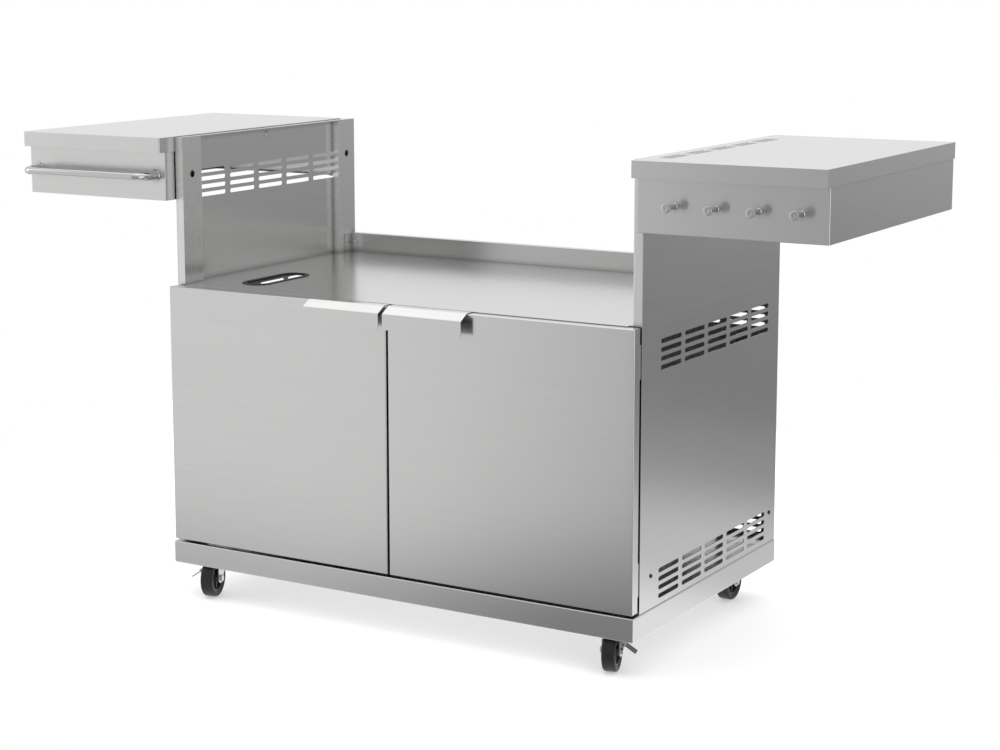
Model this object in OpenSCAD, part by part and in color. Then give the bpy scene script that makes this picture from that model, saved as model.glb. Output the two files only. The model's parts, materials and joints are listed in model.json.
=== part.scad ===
// Outdoor griddle cart: two-door stainless cabinet on four swivel casters, an open
// bay between two vented uprights, and a side shelf outside each upright.
// Millimetres. X runs to the right, Y to the back, Z up; the floor is Z = 0 and the
// cart is centred on X = 0 and Y = 0.

/* [Cabinet] */
// Width over the two side panels
body_w = 1016; // [760:2:1220]
// Depth of the side panels
body_d = 595; // [480:1:720]
// Height of the side panels from the plinth to the deck
cabinet_h = 514; // [400:1:640]
// Thickness of every folded sheet
sheet = 1.5; // [1:0.1:2.5]
// Width of the folded stiles at the front and back of a side panel
stile_w = 24; // [18:1:40]
// Space between the backs of the doors and the side panels
door_space = 8; // [7:0.5:12]

/* [Plinth] */
// Height of the plinth
plinth_h = 44; // [36:1:70]
// How far the plinth stands out past the cabinet on the sides
plinth_over = 2; // [0:0.5:10]
// Thickness of the plinth
plinth_t = 2; // [1.5:0.1:3]
// Width of the plinth's top flange
plinth_flange = 40; // [25:1:60]
// Width of the plinth's bottom hem
plinth_hem = 4; // [2:0.5:6]
// Gap between the plinth and the doors
door_lift = 4.5; // [2:0.5:10]

/* [Doors] */
// Thickness of a door
door_t = 20; // [16:1:30]
// Gap between the two doors
door_seam = 4; // [2:0.5:8]
// Length of a door handle
handle_len = 168; // [100:1:240]
// How far a handle stands out in front of its door
handle_out = 22; // [16:1:40]
// How far a handle's top slopes down
handle_slope = 12.5; // [6:0.5:25]
// Height of a handle's front lip
handle_lip = 28.5; // [16:0.5:45]
// Width of a handle's flange on the top of the door
handle_flange = 18; // [10:1:19]
// Gap between a handle and the seam
handle_in = 2.5; // [1:0.5:20]
// Height of one hinge
hinge_h = 60; // [40:1:90]
// Distance of a hinge's middle from the end of the door
hinge_in = 60; // [45:1:120]
// Radius of a hinge knuckle
knuckle_r = 2.7; // [2.3:0.1:3]
// Radius of a hinge pin
hinge_pin_r = 1.5; // [1:0.1:1.8]

/* [Uprights] */
// Height of the uprights above the deck
upright_h = 288; // [200:1:360]
// Width of a post from front to back
post_w = 60; // [40:1:90]
// Thickness of a post, with the side panel
post_t = 18; // [12:1:30]
// Radius of the hole near the top of each post
post_hole_r = 7; // [4:0.5:10]
// Distance of that hole below the top of the upright
post_hole_drop = 73; // [30:1:120]
// Height of the rail at the back of the deck
rail_h = 40.5; // [20:0.5:80]
// Distance of the rail from the back of the cabinet
rail_in = 16.5; // [10:0.5:40]
// Length of the rail's end flanges
rail_return = 26; // [12:1:40]

/* [Vents] */
// Length of a side vent slot
slot_len = 82; // [40:1:100]
// Height of a side vent slot
slot_h = 8.5; // [5:0.5:12]
// Distance from one slot to the next along the panel
slot_pitch = 96.7; // [60:0.1:120]
// Distance from one row of slots to the next
slot_rise = 15.7; // [12:0.1:24]
// Number of slots in a row
slot_cols = 5; // [3:1:7]
// Number of rows in a group
slot_rows = 4; // [2:1:5]
// Distance of the first slot behind the front of the side panel
slot_in = 75; // [40:1:120]
// Distance of the lower group's top row above the plinth
vent_low = 62.5; // [50:0.5:120]
// Distance of the middle group's top row below the deck
vent_mid = 36.5; // [28:0.5:80]
// Distance of the upper group's top row below the top of the upright
vent_top = 72.5; // [50:0.5:140]
// Width of a slot in the right shelf
lid_slot_w = 3.5; // [2:0.5:8]
// Length of a slot in the right shelf
lid_slot_len = 78; // [30:1:90]
// Distance of the first lid slot from the front edge of the side panel
lid_slot_start = 16; // [10:1:80]
// Distance of the first row of shelf slots from the upright
lid_slot_in = 22; // [12:1:60]
// Distance between the rows of shelf slots
lid_row_pitch = 9; // [9:0.5:20]

/* [Shelves] */
// Width of a side shelf
shelf_w = 350; // [250:1:450]
// Depth of a side shelf
shelf_d = 620; // [520:1:720]
// How far a shelf's top stands out in front of the doors
shelf_over = 20; // [4:1:40]
// Height of the skirt around a shelf's top
skirt_h = 30; // [20:1:45]
// Height of the whole shelf, from its top to the bottom of its apron
shelf_h = 124.5; // [100:0.5:180]
// How far the shelf's top rises above the upright
shelf_rise = 2.5; // [0:0.5:10]
// How far the apron stands out in front of the doors
apron_over = 2; // [0:1:20]
// Width of the flanges on an apron
apron_flange = 14; // [8:1:30]
// How far an apron's ends lap along the side panel, past its front edge and from its back
apron_lap = 25; // [15:1:60]

/* [Towel bar and hooks] */
// Distance between the towel bar's two ends
bar_span = 300; // [160:1:300]
// Diameter of the towel bar
bar_d = 16; // [10:0.5:18]
// Distance of the towel bar's middle from the apron
bar_out = 46; // [30:1:80]
// Radius of the towel bar's bends
bar_bend = 20; // [14:1:30]
// Distance of the bar and the hooks below the shelf's top
trim_drop = 75.5; // [50:0.5:90]
// Number of tool hooks
hook_count = 4; // [1:1:5]
// Distance between tool hooks
hook_pitch = 75.7; // [40:0.1:80]
// Distance of the first hook from the upright
hook_in = 73; // [30:1:80]
// Length of a hook with its head
hook_len = 36; // [20:1:60]
// Radius of a hook's stem
hook_r = 5; // [3:0.5:7]
// Radius of a hook's head
hook_head_r = 8.5; // [7.5:0.5:14]

/* [Hose hole] */
// Width of the hole in the deck
hose_w = 54; // [30:1:90]
// Length of the hole in the deck
hose_len = 168; // [90:1:220]
// Distance of the hole's middle from the left side of the cabinet
hose_in_x = 130; // [90:1:200]
// Distance of the hole's middle behind the door faces
hose_in_y = 176; // [150:1:260]
// Radius of the hole's corners
hose_corner = 24; // [6:1:40]
// Wall of the rubber grommet
grommet_wall = 3; // [2:0.5:5]
// How far the grommet laps over the deck
grommet_lap = 5; // [3:0.5:8]

/* [Casters] */
// Diameter of a wheel
wheel_d = 75; // [60:1:76]
// Width of a tyre
tyre_w = 25; // [18:1:30]
// Diameter of the hub that carries the tyre
hub_d = 54; // [44:1:56]
// Height of the plinth's bottom above the floor
ride_h = 68; // [62:1:80]
// Height of a caster
caster_h = 104; // [102:1:105]
// Distance of the axle in front of the swivel
trail = 22; // [16:1:24]
// Diameter of an axle
axle_d = 8; // [6:0.5:10]
// Thickness of the fork
fork_t = 2.5; // [2:0.5:3.5]
// Side of a caster's square top plate
plate_w = 62; // [60:1:72]
// Distance between the plate's bolt holes
plate_bolts = 46; // [45:0.5:50]
// Distance of a caster's swivel from the side of the cabinet
caster_in_x = 61; // [58:1:120]
// Distance of a front caster's swivel from the front of the plinth
caster_in_front = 55; // [52:1:120]
// Distance of a rear caster's swivel from the back of the plinth
caster_in_back = 56; // [52:1:120]
// Angle at which the front casters stand
front_toe = 15; // [-30:1:30]
// Distance that a brake lever reaches out from its pivot
lever_out = 22; // [12:1:26]
// Distance that a brake lever drops from its pivot
lever_drop = 15; // [12:1:28]
// Length of a brake lever along the wheel
lever_w = 18; // [14:1:20]

/* [Clearances] */
// Radial clearance of a turning pin or axle
turn_gap = 0.05; // [0.02:0.01:0.1]
// Space between parts that pass each other
pass_gap = 0.3; // [0.3:0.05:0.6]
// Space between a hub and its fork on each side
hub_gap = 1; // [0.5:0.1:2]

/* [Hidden] */
$fn = 48;
steel = [0.78, 0.78, 0.77];
bright = [0.86, 0.86, 0.86];
zinc = [0.66, 0.67, 0.68];
black = [0.08, 0.08, 0.08];

// Heights
plinth_top = ride_h + plinth_h;
deck_top = plinth_top + cabinet_h;
upright_top = deck_top + upright_h;
lid_top = upright_top + shelf_rise;
apron_bottom = lid_top - shelf_h;
trim_z = lid_top - trim_drop;
post_hole_z = upright_top - post_hole_drop;
deck_lip = 25;
grommet_lip = 1.6;
// Radius of the hose hole's corners, no more than the hole's width allows
hose_r = min(hose_corner, hose_w / 2 - 1);
// How far the deck's front edge reaches past its lip, over the gap behind the doors
deck_nose = door_space - 1;

// Depths, measured from the faces of the doors
panel_y = door_t + door_space;
back_y = panel_y + body_d;
plinth_y = -1;
apron_y = -apron_over;
shelf_back = shelf_d - shelf_over;
rail_y = back_y - rail_in;
post_front_mid = panel_y + post_w / 2;
post_back_mid = back_y - post_w / 2;
bar_front = apron_over + bar_out + bar_d / 2;
// Y of the door faces when the cart is centred
face_y = (bar_front - back_y) / 2;

// Widths
half_w = body_w / 2;
plinth_half = half_w + plinth_over;
inner_half = half_w - sheet;
stile_half = half_w - stile_w;
bay_half = half_w - post_t;
shelf_x = half_w + shelf_w;

// Doors
door_w = half_w - door_seam / 2;
door_bottom = plinth_top + door_lift;
door_top = deck_top - sheet;
door_h = door_top - door_bottom;
hinge_x = half_w - 3;
hinge_y = door_t + 3;
hinge_zs = [door_bottom + hinge_in, door_top - hinge_in];
leaf_t = 1.2;
leaf_w = 18;
knuckle_h = hinge_h / 3;
catch_x = 40;
catch_z = deck_top - 14;
strike_t = 1;

// Casters
axle_z = wheel_d / 2;
hub_w = tyre_w + 2;
cheek_x = hub_w / 2 + hub_gap;
crown_z = wheel_d + 5;
race_top = caster_h - fork_t - pass_gap;
crown_r = 28;
race_r = 22;
kingpin_r = 4;
rivet_z = crown_z - pass_gap - 3;
bolt_r = 3;
// Least distance of a shelf bolt from the back of the shelf
shelf_bolt_in = 13;
kingpin_x = half_w - caster_in_x;
kingpin_front = plinth_y + caster_in_front;
kingpin_back = back_y - caster_in_back;
lever_x = cheek_x + fork_t + 4.5;
lever_y = 4 - trail;
lever_z = axle_z + 14;
lever_t = 2;
lug_t = 2.5;
lug_r = 4.5;
lever_pin_r = 2;

// ---- Placing ----

// Children drawn with Y measured from the door faces
module placed() {
    translate([0, face_y, 0]) children();
}

// Children drawn for the right side; side is 1 for right and -1 for left
module sided(side) {
    mirror([side < 0 ? 1 : 0, 0, 0]) children();
}

// A box between two corners
module block(low, high) {
    translate(low) cube(high - low);
}

// A flat shape in Y and Z, given its thickness along X from x
module upright_plate(x, t) {
    translate([x, 0, 0]) rotate([90, 0, 90]) linear_extrude(t) children();
}

// A flat shape in X and Z, given its thickness along Y from y
module facing_plate(y, t) {
    translate([0, y + t, 0]) rotate([90, 0, 0]) linear_extrude(t) children();
}

// A tray between two corners with a floor at the top and walls all round
module tray_down(low, high, t) {
    difference() {
        block(low, high);
        block(low + [t, t, -1], high - [t, t, t]);
    }
}

// ---- Shapes that repeat ----

// A slot along X with round ends, from its left end
module slot(len, h) {
    translate([h / 2, -h / 2]) square([len - h, h]);
    translate([h / 2, 0]) circle(h / 2);
    translate([len - h / 2, 0]) circle(h / 2);
}

// A group of slots with its top row at zero
module slot_group() {
    for (col = [0 : slot_cols - 1])
        for (row = [0 : slot_rows - 1])
            translate([col * slot_pitch, -row * slot_rise]) slot(slot_len, slot_h);
}

// A rectangle with round corners, centred
module round_rect(w, l, r) {
    square([w - 2 * r, l], center = true);
    square([w, l - 2 * r], center = true);
    for (x = [-1, 1])
        for (y = [-1, 1])
            translate([x * (w / 2 - r), y * (l / 2 - r)]) circle(r);
}

// A screw along X with its head at x = 0 and its shank towards +X
module screw_x(head_r, head_h, shank_r, len) {
    rotate([0, 90, 0]) {
        translate([0, 0, -head_h]) cylinder(h = head_h, r1 = head_r * 0.7, r2 = head_r);
        cylinder(h = len, r = shank_r);
        translate([0, 0, len - 3]) cylinder(h = 3, r = shank_r * 1.9, $fn = 6);
    }
}

// ---- Plinth and floor ----

module plinth_frame() color(steel) placed() {
    low = [-plinth_half, plinth_y, ride_h];
    high = [plinth_half, back_y, plinth_top];
    wall = [plinth_t, plinth_t, 0];
    flange = [plinth_flange, plinth_flange, 0];
    hem = [plinth_hem + plinth_t, plinth_hem + plinth_t, 0];
    difference() {
        block(low, high);
        block(low + wall + [0, 0, plinth_t], high - wall - [0, 0, plinth_t]);
        block(low + flange - [0, 0, -plinth_t], high - flange + [0, 0, 1]);
        block(low + hem - [0, 0, 1], [high[0], high[1], ride_h + plinth_t] - [hem[0], hem[1], -1]);
    }
}

module caster_bearer(side) color(zinc) placed() sided(side) {
    low = [kingpin_x - 45, plinth_y + plinth_t, caster_h];
    high = [kingpin_x + 45, back_y - plinth_t, plinth_top - plinth_t];
    difference() {
        block(low, high);
        block(low + [sheet, -1, sheet], high - [sheet, -1, -1]);
        for (y = [kingpin_front, kingpin_back])
            translate([kingpin_x, y, caster_h - 1]) bolt_square() cylinder(h = 20, r = bolt_r);
    }
}

module floor_pan() color(steel) placed() {
    block([-inner_half, panel_y + sheet, plinth_top],
          [inner_half, back_y - sheet, plinth_top + sheet]);
}

// ---- Cabinet ----

module side_panel(side) color(steel) placed() sided(side) difference() {
    union() {
        block([inner_half, panel_y, plinth_top], [half_w, back_y, upright_top]);
        for (y = [panel_y, back_y - sheet])
            block([stile_half, y, plinth_top], [half_w, y + sheet, deck_top - sheet]);
        block([bay_half, panel_y, upright_top - sheet], [half_w, back_y, upright_top]);
    }
    for (z = [plinth_top + vent_low, deck_top - vent_mid, upright_top - vent_top])
        upright_plate(inner_half - 1, sheet + 2)
            translate([panel_y + slot_in, z]) slot_group();
    for (spot = panel_screw_spots)
        translate([inner_half - 1, spot[0], spot[1]]) rotate([0, 90, 0])
            cylinder(h = sheet + 2, r = 2);
    for (spot = shelf_bolt_spots)
        translate([inner_half - 1, spot[0], spot[1]]) rotate([0, 90, 0])
            cylinder(h = sheet + 2, r = bolt_r);
}

// Y and Z of the screws low on each side panel
panel_screw_spots = [
    [panel_y + 44, plinth_top + vent_low - 2],
    [back_y - 28, plinth_top + vent_low - 2]
];

// Y and Z of the bolts that hold a shelf to its side panel
shelf_bolt_spots = [
    [post_front_mid, lid_top - skirt_h / 2],
    [(panel_y + back_y) / 2, lid_top - skirt_h / 2],
    [min(post_back_mid, shelf_back - shelf_bolt_in), lid_top - skirt_h / 2]
];

module back_panel() color(steel) placed() {
    y = back_y - 2 * sheet;
    difference() {
        block([-inner_half, y, plinth_top + sheet], [inner_half, y + sheet, deck_top - sheet]);
        for (z = [plinth_top + vent_low, deck_top - vent_mid])
            for (start = [-slot_pitch * slot_cols - 5, 5])
                facing_plate(y - 1, sheet + 2)
                    translate([start + (slot_pitch - slot_len) / 2, z]) slot_group();
    }
}

// The deck's top stops short of whatever stands on it, so it is one clear face
module deck() color(bright) placed() difference() {
    union() {
        block([-inner_half, panel_y, deck_top - sheet],
              [inner_half, rail_y - pass_gap, deck_top]);
        block([-stile_half, panel_y, deck_top - deck_lip],
              [stile_half, panel_y + sheet, deck_top]);
        block([-stile_half, panel_y - deck_nose, deck_top - sheet],
              [stile_half, panel_y + sheet, deck_top]);
    }
    for (side = [-1, 1]) sided(side) {
        deck_notch(bay_half, panel_y - 1, panel_y + post_w);
        deck_notch(bay_half, back_y - post_w, back_y);
        deck_notch(bay_half - sheet, rail_y - rail_return, back_y);
    }
    translate([hose_in_x - half_w, hose_in_y, deck_top - sheet - 1])
        linear_extrude(sheet + 2) round_rect(hose_w, hose_len, hose_r);
    grommet_seat(deck_top - pass_gap, deck_top + 1);
    for (spot = [[51, 92], [20, 70]])
        translate([spot[0] - half_w, panel_y + spot[1], deck_top - sheet - 1])
            cylinder(h = sheet + 2, r = 2.5);
}

// A notch in the deck's corner for what stands there, from front to back in Y
module deck_notch(x, front, back) {
    block([x - pass_gap, front - pass_gap, deck_top - sheet - 1],
          [inner_half + 1, back + pass_gap, deck_top + 1]);
}

// The shallow recess that the grommet's upper lip lies in
module grommet_seat(low, high) {
    translate([hose_in_x - half_w, hose_in_y, 0])
        grommet_ring(low, high, grommet_lap + pass_gap);
}

module header_rail() color(zinc) placed() {
    y = panel_y + sheet;
    block([-stile_half, y, deck_top - deck_lip], [stile_half, y + sheet, deck_top - sheet]);
    block([-stile_half, y, deck_top - deck_lip],
          [stile_half, y + 20, deck_top - deck_lip + sheet]);
}

module rear_rail() color(steel) placed() difference() {
    union() {
        block([-bay_half, rail_y, deck_top - sheet],
              [bay_half, rail_y + sheet, deck_top + rail_h]);
        for (z = [deck_top, deck_top + rail_h])
            block([-bay_half, rail_y, z - sheet], [bay_half, back_y - sheet, z]);
        for (x = [-bay_half, bay_half - sheet])
            block([x, rail_y - rail_return, deck_top - sheet],
                  [x + sheet, rail_y + sheet, deck_top + rail_h]);
    }
    for (x = rail_screw_xs)
        translate([x, rail_y - 1, deck_top + rail_h / 2]) rotate([-90, 0, 0])
            cylinder(h = sheet + 2, r = 2);
}

rail_screw_xs = [-bay_half + 9, bay_half - 9];

// ---- Uprights ----

module post(side, y, hole_y) color(steel) placed() sided(side) difference() {
    block([bay_half, y, deck_top - sheet], [inner_half, y + post_w, upright_top - sheet]);
    block([bay_half + sheet, y + sheet, deck_top - sheet - 1],
          [inner_half + 1, y + post_w - sheet, upright_top]);
    translate([bay_half - 1, hole_y, post_hole_z]) rotate([0, 90, 0])
        cylinder(h = sheet + 2, r = post_hole_r);
}

// ---- Shelves ----

module shelf_top(side, vented) color(bright) placed() sided(side) difference() {
    tray_down([half_w, -shelf_over, lid_top - skirt_h], [shelf_x, shelf_back, lid_top], sheet);
    shelf_bolt_holes();
    if (vented)
        for (row = [0 : 2])
            for (col = [0 : slot_cols - 1])
                translate([half_w + lid_slot_in + row * lid_row_pitch,
                           panel_y + lid_slot_start + col * slot_pitch, lid_top - sheet - 1])
                    rotate(90) linear_extrude(sheet + 2) slot(lid_slot_len, lid_slot_w);
}

module shelf_bolt_holes() {
    for (spot = shelf_bolt_spots)
        translate([half_w - 1, spot[0], spot[1]]) rotate([0, 90, 0])
            cylinder(h = 2 * sheet + 2, r = bolt_r);
}

module shelf_apron(side) color(steel) placed() sided(side) difference() {
    low = [half_w + sheet, apron_y, apron_bottom];
    high = [shelf_x - sheet, shelf_back - sheet, lid_top - sheet];
    rim = [apron_flange, apron_flange, 0];
    block(low, high);
    block(low + [sheet, sheet, sheet], high - [sheet, sheet, sheet]);
    block(low + rim - [0, 0, 1], high - rim + [0, 0, 1]);
    // Open towards the side panel, below the strip that the bolts pass through
    block([low[0] - 1, panel_y + apron_lap, low[2] - 1],
          [low[0] + apron_flange + 1, high[1] - apron_lap, lid_top - skirt_h]);
    shelf_bolt_holes();
}

module shelf_bolts() color(zinc) placed() for (side = [-1, 1]) sided(side)
    for (spot = shelf_bolt_spots)
        translate([inner_half, spot[0], spot[1]]) screw_x(5.5, 3, bolt_r, 3 * sheet + 5);

// ---- Fittings ----

// The bar's middle line runs out, round a bend, along, round a bend and back in
module towel_bar() color(bright) placed()
    translate([-half_w - shelf_w / 2, apron_y, trim_z]) {
        run = bar_span - 2 * bar_bend;
        leg = bar_out - bar_bend;
        for (end = [-1, 1]) {
            translate([end * bar_span / 2, 0, 0]) rotate([90, 0, 0]) {
                cylinder(h = leg, r = bar_d / 2);
                cylinder(h = 2.5, r = bar_d / 2 + 3);
            }
            translate([end * run / 2, -leg, 0]) mirror([end < 0 ? 1 : 0, 0, 0])
                rotate(-90) rotate_extrude(angle = 90)
                    translate([bar_bend, 0]) circle(bar_d / 2);
        }
        translate([-run / 2, -bar_out, 0]) rotate([0, 90, 0]) cylinder(h = run, r = bar_d / 2);
    }

module tool_hooks() color(bright) placed() for (n = [0 : hook_count - 1])
    translate([half_w + hook_in + n * hook_pitch, apron_y, trim_z]) rotate([90, 0, 0]) {
        cylinder(h = hook_len, r = hook_r);
        translate([0, 0, hook_len - 6]) cylinder(h = 2, r1 = hook_r, r2 = hook_head_r);
        translate([0, 0, hook_len - 4]) cylinder(h = 4, r = hook_head_r);
    }

module hose_grommet() color(black) placed()
    translate([hose_in_x - half_w, hose_in_y, 0]) difference() {
        union() {
            grommet_ring(deck_top - sheet - grommet_lip, deck_top - sheet, grommet_lap);
            grommet_ring(deck_top - sheet, deck_top - pass_gap, 0);
            grommet_ring(deck_top - pass_gap, deck_top + grommet_lip, grommet_lap);
        }
        translate([0, 0, deck_top - 10]) linear_extrude(20)
            round_rect(hose_w - 2 * grommet_wall, hose_len - 2 * grommet_wall,
                       hose_r - grommet_wall);
    }

// One layer of the grommet, larger than the hole by lap
module grommet_ring(low, high, lap) {
    translate([0, 0, low]) linear_extrude(high - low)
        round_rect(hose_w + 2 * lap, hose_len + 2 * lap, hose_r + lap);
}

module panel_screws() color(zinc) placed() for (side = [-1, 1]) sided(side)
    for (spot = panel_screw_spots)
        translate([half_w, spot[0], spot[1]]) mirror([1, 0, 0]) screw_x(4, 2, 2, sheet + 4);

module rail_screws() color(zinc) placed() for (x = rail_screw_xs)
    translate([x, rail_y, deck_top + rail_h / 2]) rotate(90) screw_x(3.5, 2, 2, sheet + 4);

module door_catches() color(black) placed() for (side = [-1, 1])
    block([side * catch_x - 16, door_t + strike_t + pass_gap, catch_z - 7],
          [side * catch_x + 16, panel_y, catch_z + 7]);

// ---- Doors ----

module door_skin(side) color(steel) placed() sided(side) difference() {
    block([door_seam / 2, 0, door_bottom], [half_w, door_t, door_top]);
    block([door_seam / 2 + sheet, sheet, door_bottom + sheet],
          [half_w - sheet, door_t + 1, door_top - sheet]);
}

module door_liner(side) color(steel) placed() sided(side) {
    low = [door_seam / 2 + sheet, door_t - 10, door_bottom + sheet];
    high = [half_w - sheet, door_t, door_top - sheet];
    difference() {
        block(low, high);
        block(low + [sheet, -1, sheet], high - [sheet, sheet, sheet]);
    }
}

module door_handle(side) color(bright) placed() sided(side)
    translate([door_seam / 2 + handle_in, 0, 0]) rotate([90, 0, 90]) linear_extrude(handle_len)
        polygon([
            [handle_flange, door_top], [handle_flange, deck_top], [0, deck_top],
            [-handle_out, deck_top - handle_slope],
            [-handle_out, deck_top - handle_slope - handle_lip],
            [sheet - handle_out, deck_top - handle_slope - handle_lip],
            [sheet - handle_out, deck_top - handle_slope - 0.6 * sheet],
            [-0.01, door_top]
        ]);

module strike_plate(side) color(zinc) placed()
    block([side * catch_x - 16, door_t, catch_z - 7], [side * catch_x + 16, door_t + strike_t, catch_z + 7]);

// One third of a hinge barrel with its bore; level is 0, 1 or 2 from the bottom
module knuckle(z, level, bore_r) {
    gap = level == 1 ? pass_gap : 0;
    low = z - hinge_h / 2 + level * knuckle_h + gap;
    len = knuckle_h - 2 * gap;
    difference() {
        union() {
            translate([hinge_x, hinge_y, low]) cylinder(h = len, r = knuckle_r);
            translate([0, 0, low]) linear_extrude(len) children();
        }
        translate([hinge_x, hinge_y, low - 1]) cylinder(h = len + 2, r = bore_r);
    }
}

// The cabinet's half of each hinge, on the front stile
module cabinet_hinge_leaves() color(zinc) placed() for (side = [-1, 1]) sided(side)
    for (z = hinge_zs) {
        leaf_x = hinge_x - 2 - leaf_w;
        block([leaf_x, panel_y - leaf_t, z - hinge_h / 2], [hinge_x - 2, panel_y, z + hinge_h / 2]);
        for (level = [0, 2])
            knuckle(z, level, hinge_pin_r) translate([hinge_x - 3.5, hinge_y + 1])
                square([2.5, panel_y - hinge_y - 1]);
    }

module hinge_pins() color(zinc) placed() for (side = [-1, 1]) sided(side)
    for (z = hinge_zs)
        translate([hinge_x, hinge_y, z - hinge_h / 2]) cylinder(h = hinge_h, r = hinge_pin_r);

// The door's half of each hinge, on the liner
module door_hinge_leaves(side) color(zinc) placed() sided(side) for (z = hinge_zs) {
    leaf_x = hinge_x - 2 - leaf_w;
    block([leaf_x, door_t, z - hinge_h / 2], [hinge_x - 3.2, door_t + leaf_t, z + hinge_h / 2]);
    knuckle(z, 1, hinge_pin_r + turn_gap) translate([hinge_x - 4, door_t])
        square([3, hinge_y - door_t - 1.6]);
}

// ---- Casters ----

// Children at the plate's four bolt holes
module bolt_square() {
    for (x = [-1, 1])
        for (y = [-1, 1])
            translate([x * plate_bolts / 2, y * plate_bolts / 2, 0]) children();
}

// Children at all four swivels, drawn about the swivel's own axis
module at_each_swivel() {
    for (side = [-1, 1])
        for (y = [kingpin_front, kingpin_back])
            translate([side * kingpin_x, y, 0]) children();
}

// Children of one caster, turned to where it stands
module at_swivel(side, y, turn) {
    placed() translate([side * kingpin_x, y, 0]) rotate(turn) children();
}

// Top plates, each with its ball race and riveted kingpin
module caster_plates() color(zinc) placed() at_each_swivel() {
    difference() {
        translate([-plate_w / 2, -plate_w / 2, caster_h - fork_t]) cube([plate_w, plate_w, fork_t]);
        translate([0, 0, caster_h - 10]) bolt_square() cylinder(h = 20, r = bolt_r);
    }
    translate([0, 0, rivet_z]) cylinder(h = caster_h - 1 - rivet_z, r = kingpin_r);
    translate([0, 0, rivet_z]) cylinder(h = 3, r = 7);
}

module caster_bolts() color(zinc) placed() at_each_swivel() bolt_square() {
    translate([0, 0, caster_h - fork_t - 5]) cylinder(h = 5, r = 5.5, $fn = 6);
    translate([0, 0, caster_h - fork_t]) cylinder(h = fork_t + sheet, r = bolt_r);
    translate([0, 0, caster_h + sheet]) cylinder(h = 2.5, r = 5.5);
}

// Crown with a race, two cheeks and, on a braked caster, two lugs for the lever
module fork(side, y, turn, braked) color(zinc) at_swivel(side, y, turn) {
    difference() {
        union() {
            translate([0, 0, crown_z]) cylinder(h = fork_t, r = crown_r);
            translate([0, 0, crown_z]) cylinder(h = race_top - crown_z, r = race_r);
            for (x = [-cheek_x - fork_t, cheek_x]) upright_plate(x, fork_t) cheek();
        }
        translate([0, 0, crown_z - 1]) cylinder(h = caster_h, r = kingpin_r + turn_gap);
        translate([-50, -trail, axle_z]) rotate([0, 90, 0]) cylinder(h = 100, r = axle_d / 2);
    }
    if (braked) sided(side)
        for (end = [-1, 1])
            translate([0, lever_y + end * (lever_w / 2 + pass_gap), 0]) lever_lug(end);
}

// Outline of a cheek: wide at the crown and round at the axle
module cheek() {
    polygon([
        [-21, crown_z + fork_t], [21, crown_z + fork_t], [18, crown_z - 8],
        [-trail + 10, axle_z], [-trail - 10, axle_z], [-trail - 9, crown_z - 12]
    ]);
    translate([-trail, axle_z]) circle(10);
}

// A lug outside the cheek, bored for the lever's pin
module lever_lug(end) {
    translate([0, end > 0 ? lug_t : 0, 0]) rotate([90, 0, 0]) linear_extrude(lug_t)
        difference() {
            union() {
                translate([lever_x, lever_z]) circle(lug_r);
                translate([cheek_x + fork_t, lever_z - lug_r])
                    square([lever_x - cheek_x - fork_t, 2 * lug_r]);
            }
            translate([lever_x, lever_z]) circle(lever_pin_r + turn_gap);
        }
}

// A sloping foot plate on a pin that turns in the two lugs
module brake_lever(side, y, turn) color(zinc) at_swivel(side, y, turn) sided(side) {
    pin_len = lever_w + 2 * (pass_gap + lug_t) + 2;
    reach = norm([lever_out, lever_drop]);
    translate([lever_x, lever_y + pin_len / 2, lever_z]) rotate([90, 0, 0])
        cylinder(h = pin_len, r = lever_pin_r);
    facing_plate(lever_y - lever_w / 2, lever_w) translate([lever_x, lever_z]) {
        circle(lug_r - 1);
        rotate(-atan2(lever_drop, lever_out)) translate([0, -lever_t / 2])
            square([reach, lever_t]);
    }
}

module axle(side, y, turn) color(zinc) at_swivel(side, y, turn)
    translate([0, -trail, axle_z]) rotate([0, 90, 0]) {
        end = cheek_x + fork_t;
        translate([0, 0, -end]) cylinder(h = 2 * end, r = axle_d / 2);
        translate([0, 0, end]) cylinder(h = 4, r = axle_d * 0.85, $fn = 6);
        translate([0, 0, -end - 4]) cylinder(h = 4, r = axle_d * 0.85, $fn = 6);
    }

// A rim, a boss and five spokes
module hub(side, y, turn) color(black) at_swivel(side, y, turn)
    translate([0, -trail, axle_z]) rotate([0, 90, 0]) difference() {
        rim = 4;
        union() {
            translate([0, 0, -tyre_w / 2 + 2]) difference() {
                cylinder(h = tyre_w - 4, r = hub_d / 2);
                translate([0, 0, -1]) cylinder(h = tyre_w, r = hub_d / 2 - rim);
            }
            translate([0, 0, -hub_w / 2]) cylinder(h = hub_w, r = axle_d / 2 + 4.5);
            translate([0, 0, -2]) cylinder(h = 4, r = hub_d / 2 - rim + 0.5);
            for (n = [0 : 4]) rotate(n * 72)
                translate([axle_d / 2 + 2, -2, -tyre_w / 2 + 5])
                    cube([hub_d / 2 - rim - axle_d / 2 - 1.5, 4, tyre_w - 10]);
        }
        translate([0, 0, -hub_w]) cylinder(h = 2 * hub_w, r = axle_d / 2 + turn_gap);
    }

// A tread with rounded shoulders
module tyre(side, y, turn) color(black) at_swivel(side, y, turn)
    translate([0, -trail, axle_z]) rotate([0, 90, 0]) rotate_extrude() {
        shoulder = min(4, (wheel_d - hub_d) / 4);
        translate([hub_d / 2, -tyre_w / 2 + 1])
            square([wheel_d / 2 - shoulder - hub_d / 2, tyre_w - 2]);
        translate([hub_d / 2, -tyre_w / 2 + shoulder])
            square([wheel_d / 2 - hub_d / 2, tyre_w - 2 * shoulder]);
        for (end = [-1, 1])
            translate([wheel_d / 2 - shoulder, end * (tyre_w / 2 - shoulder)]) circle(shoulder);
    }

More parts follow.
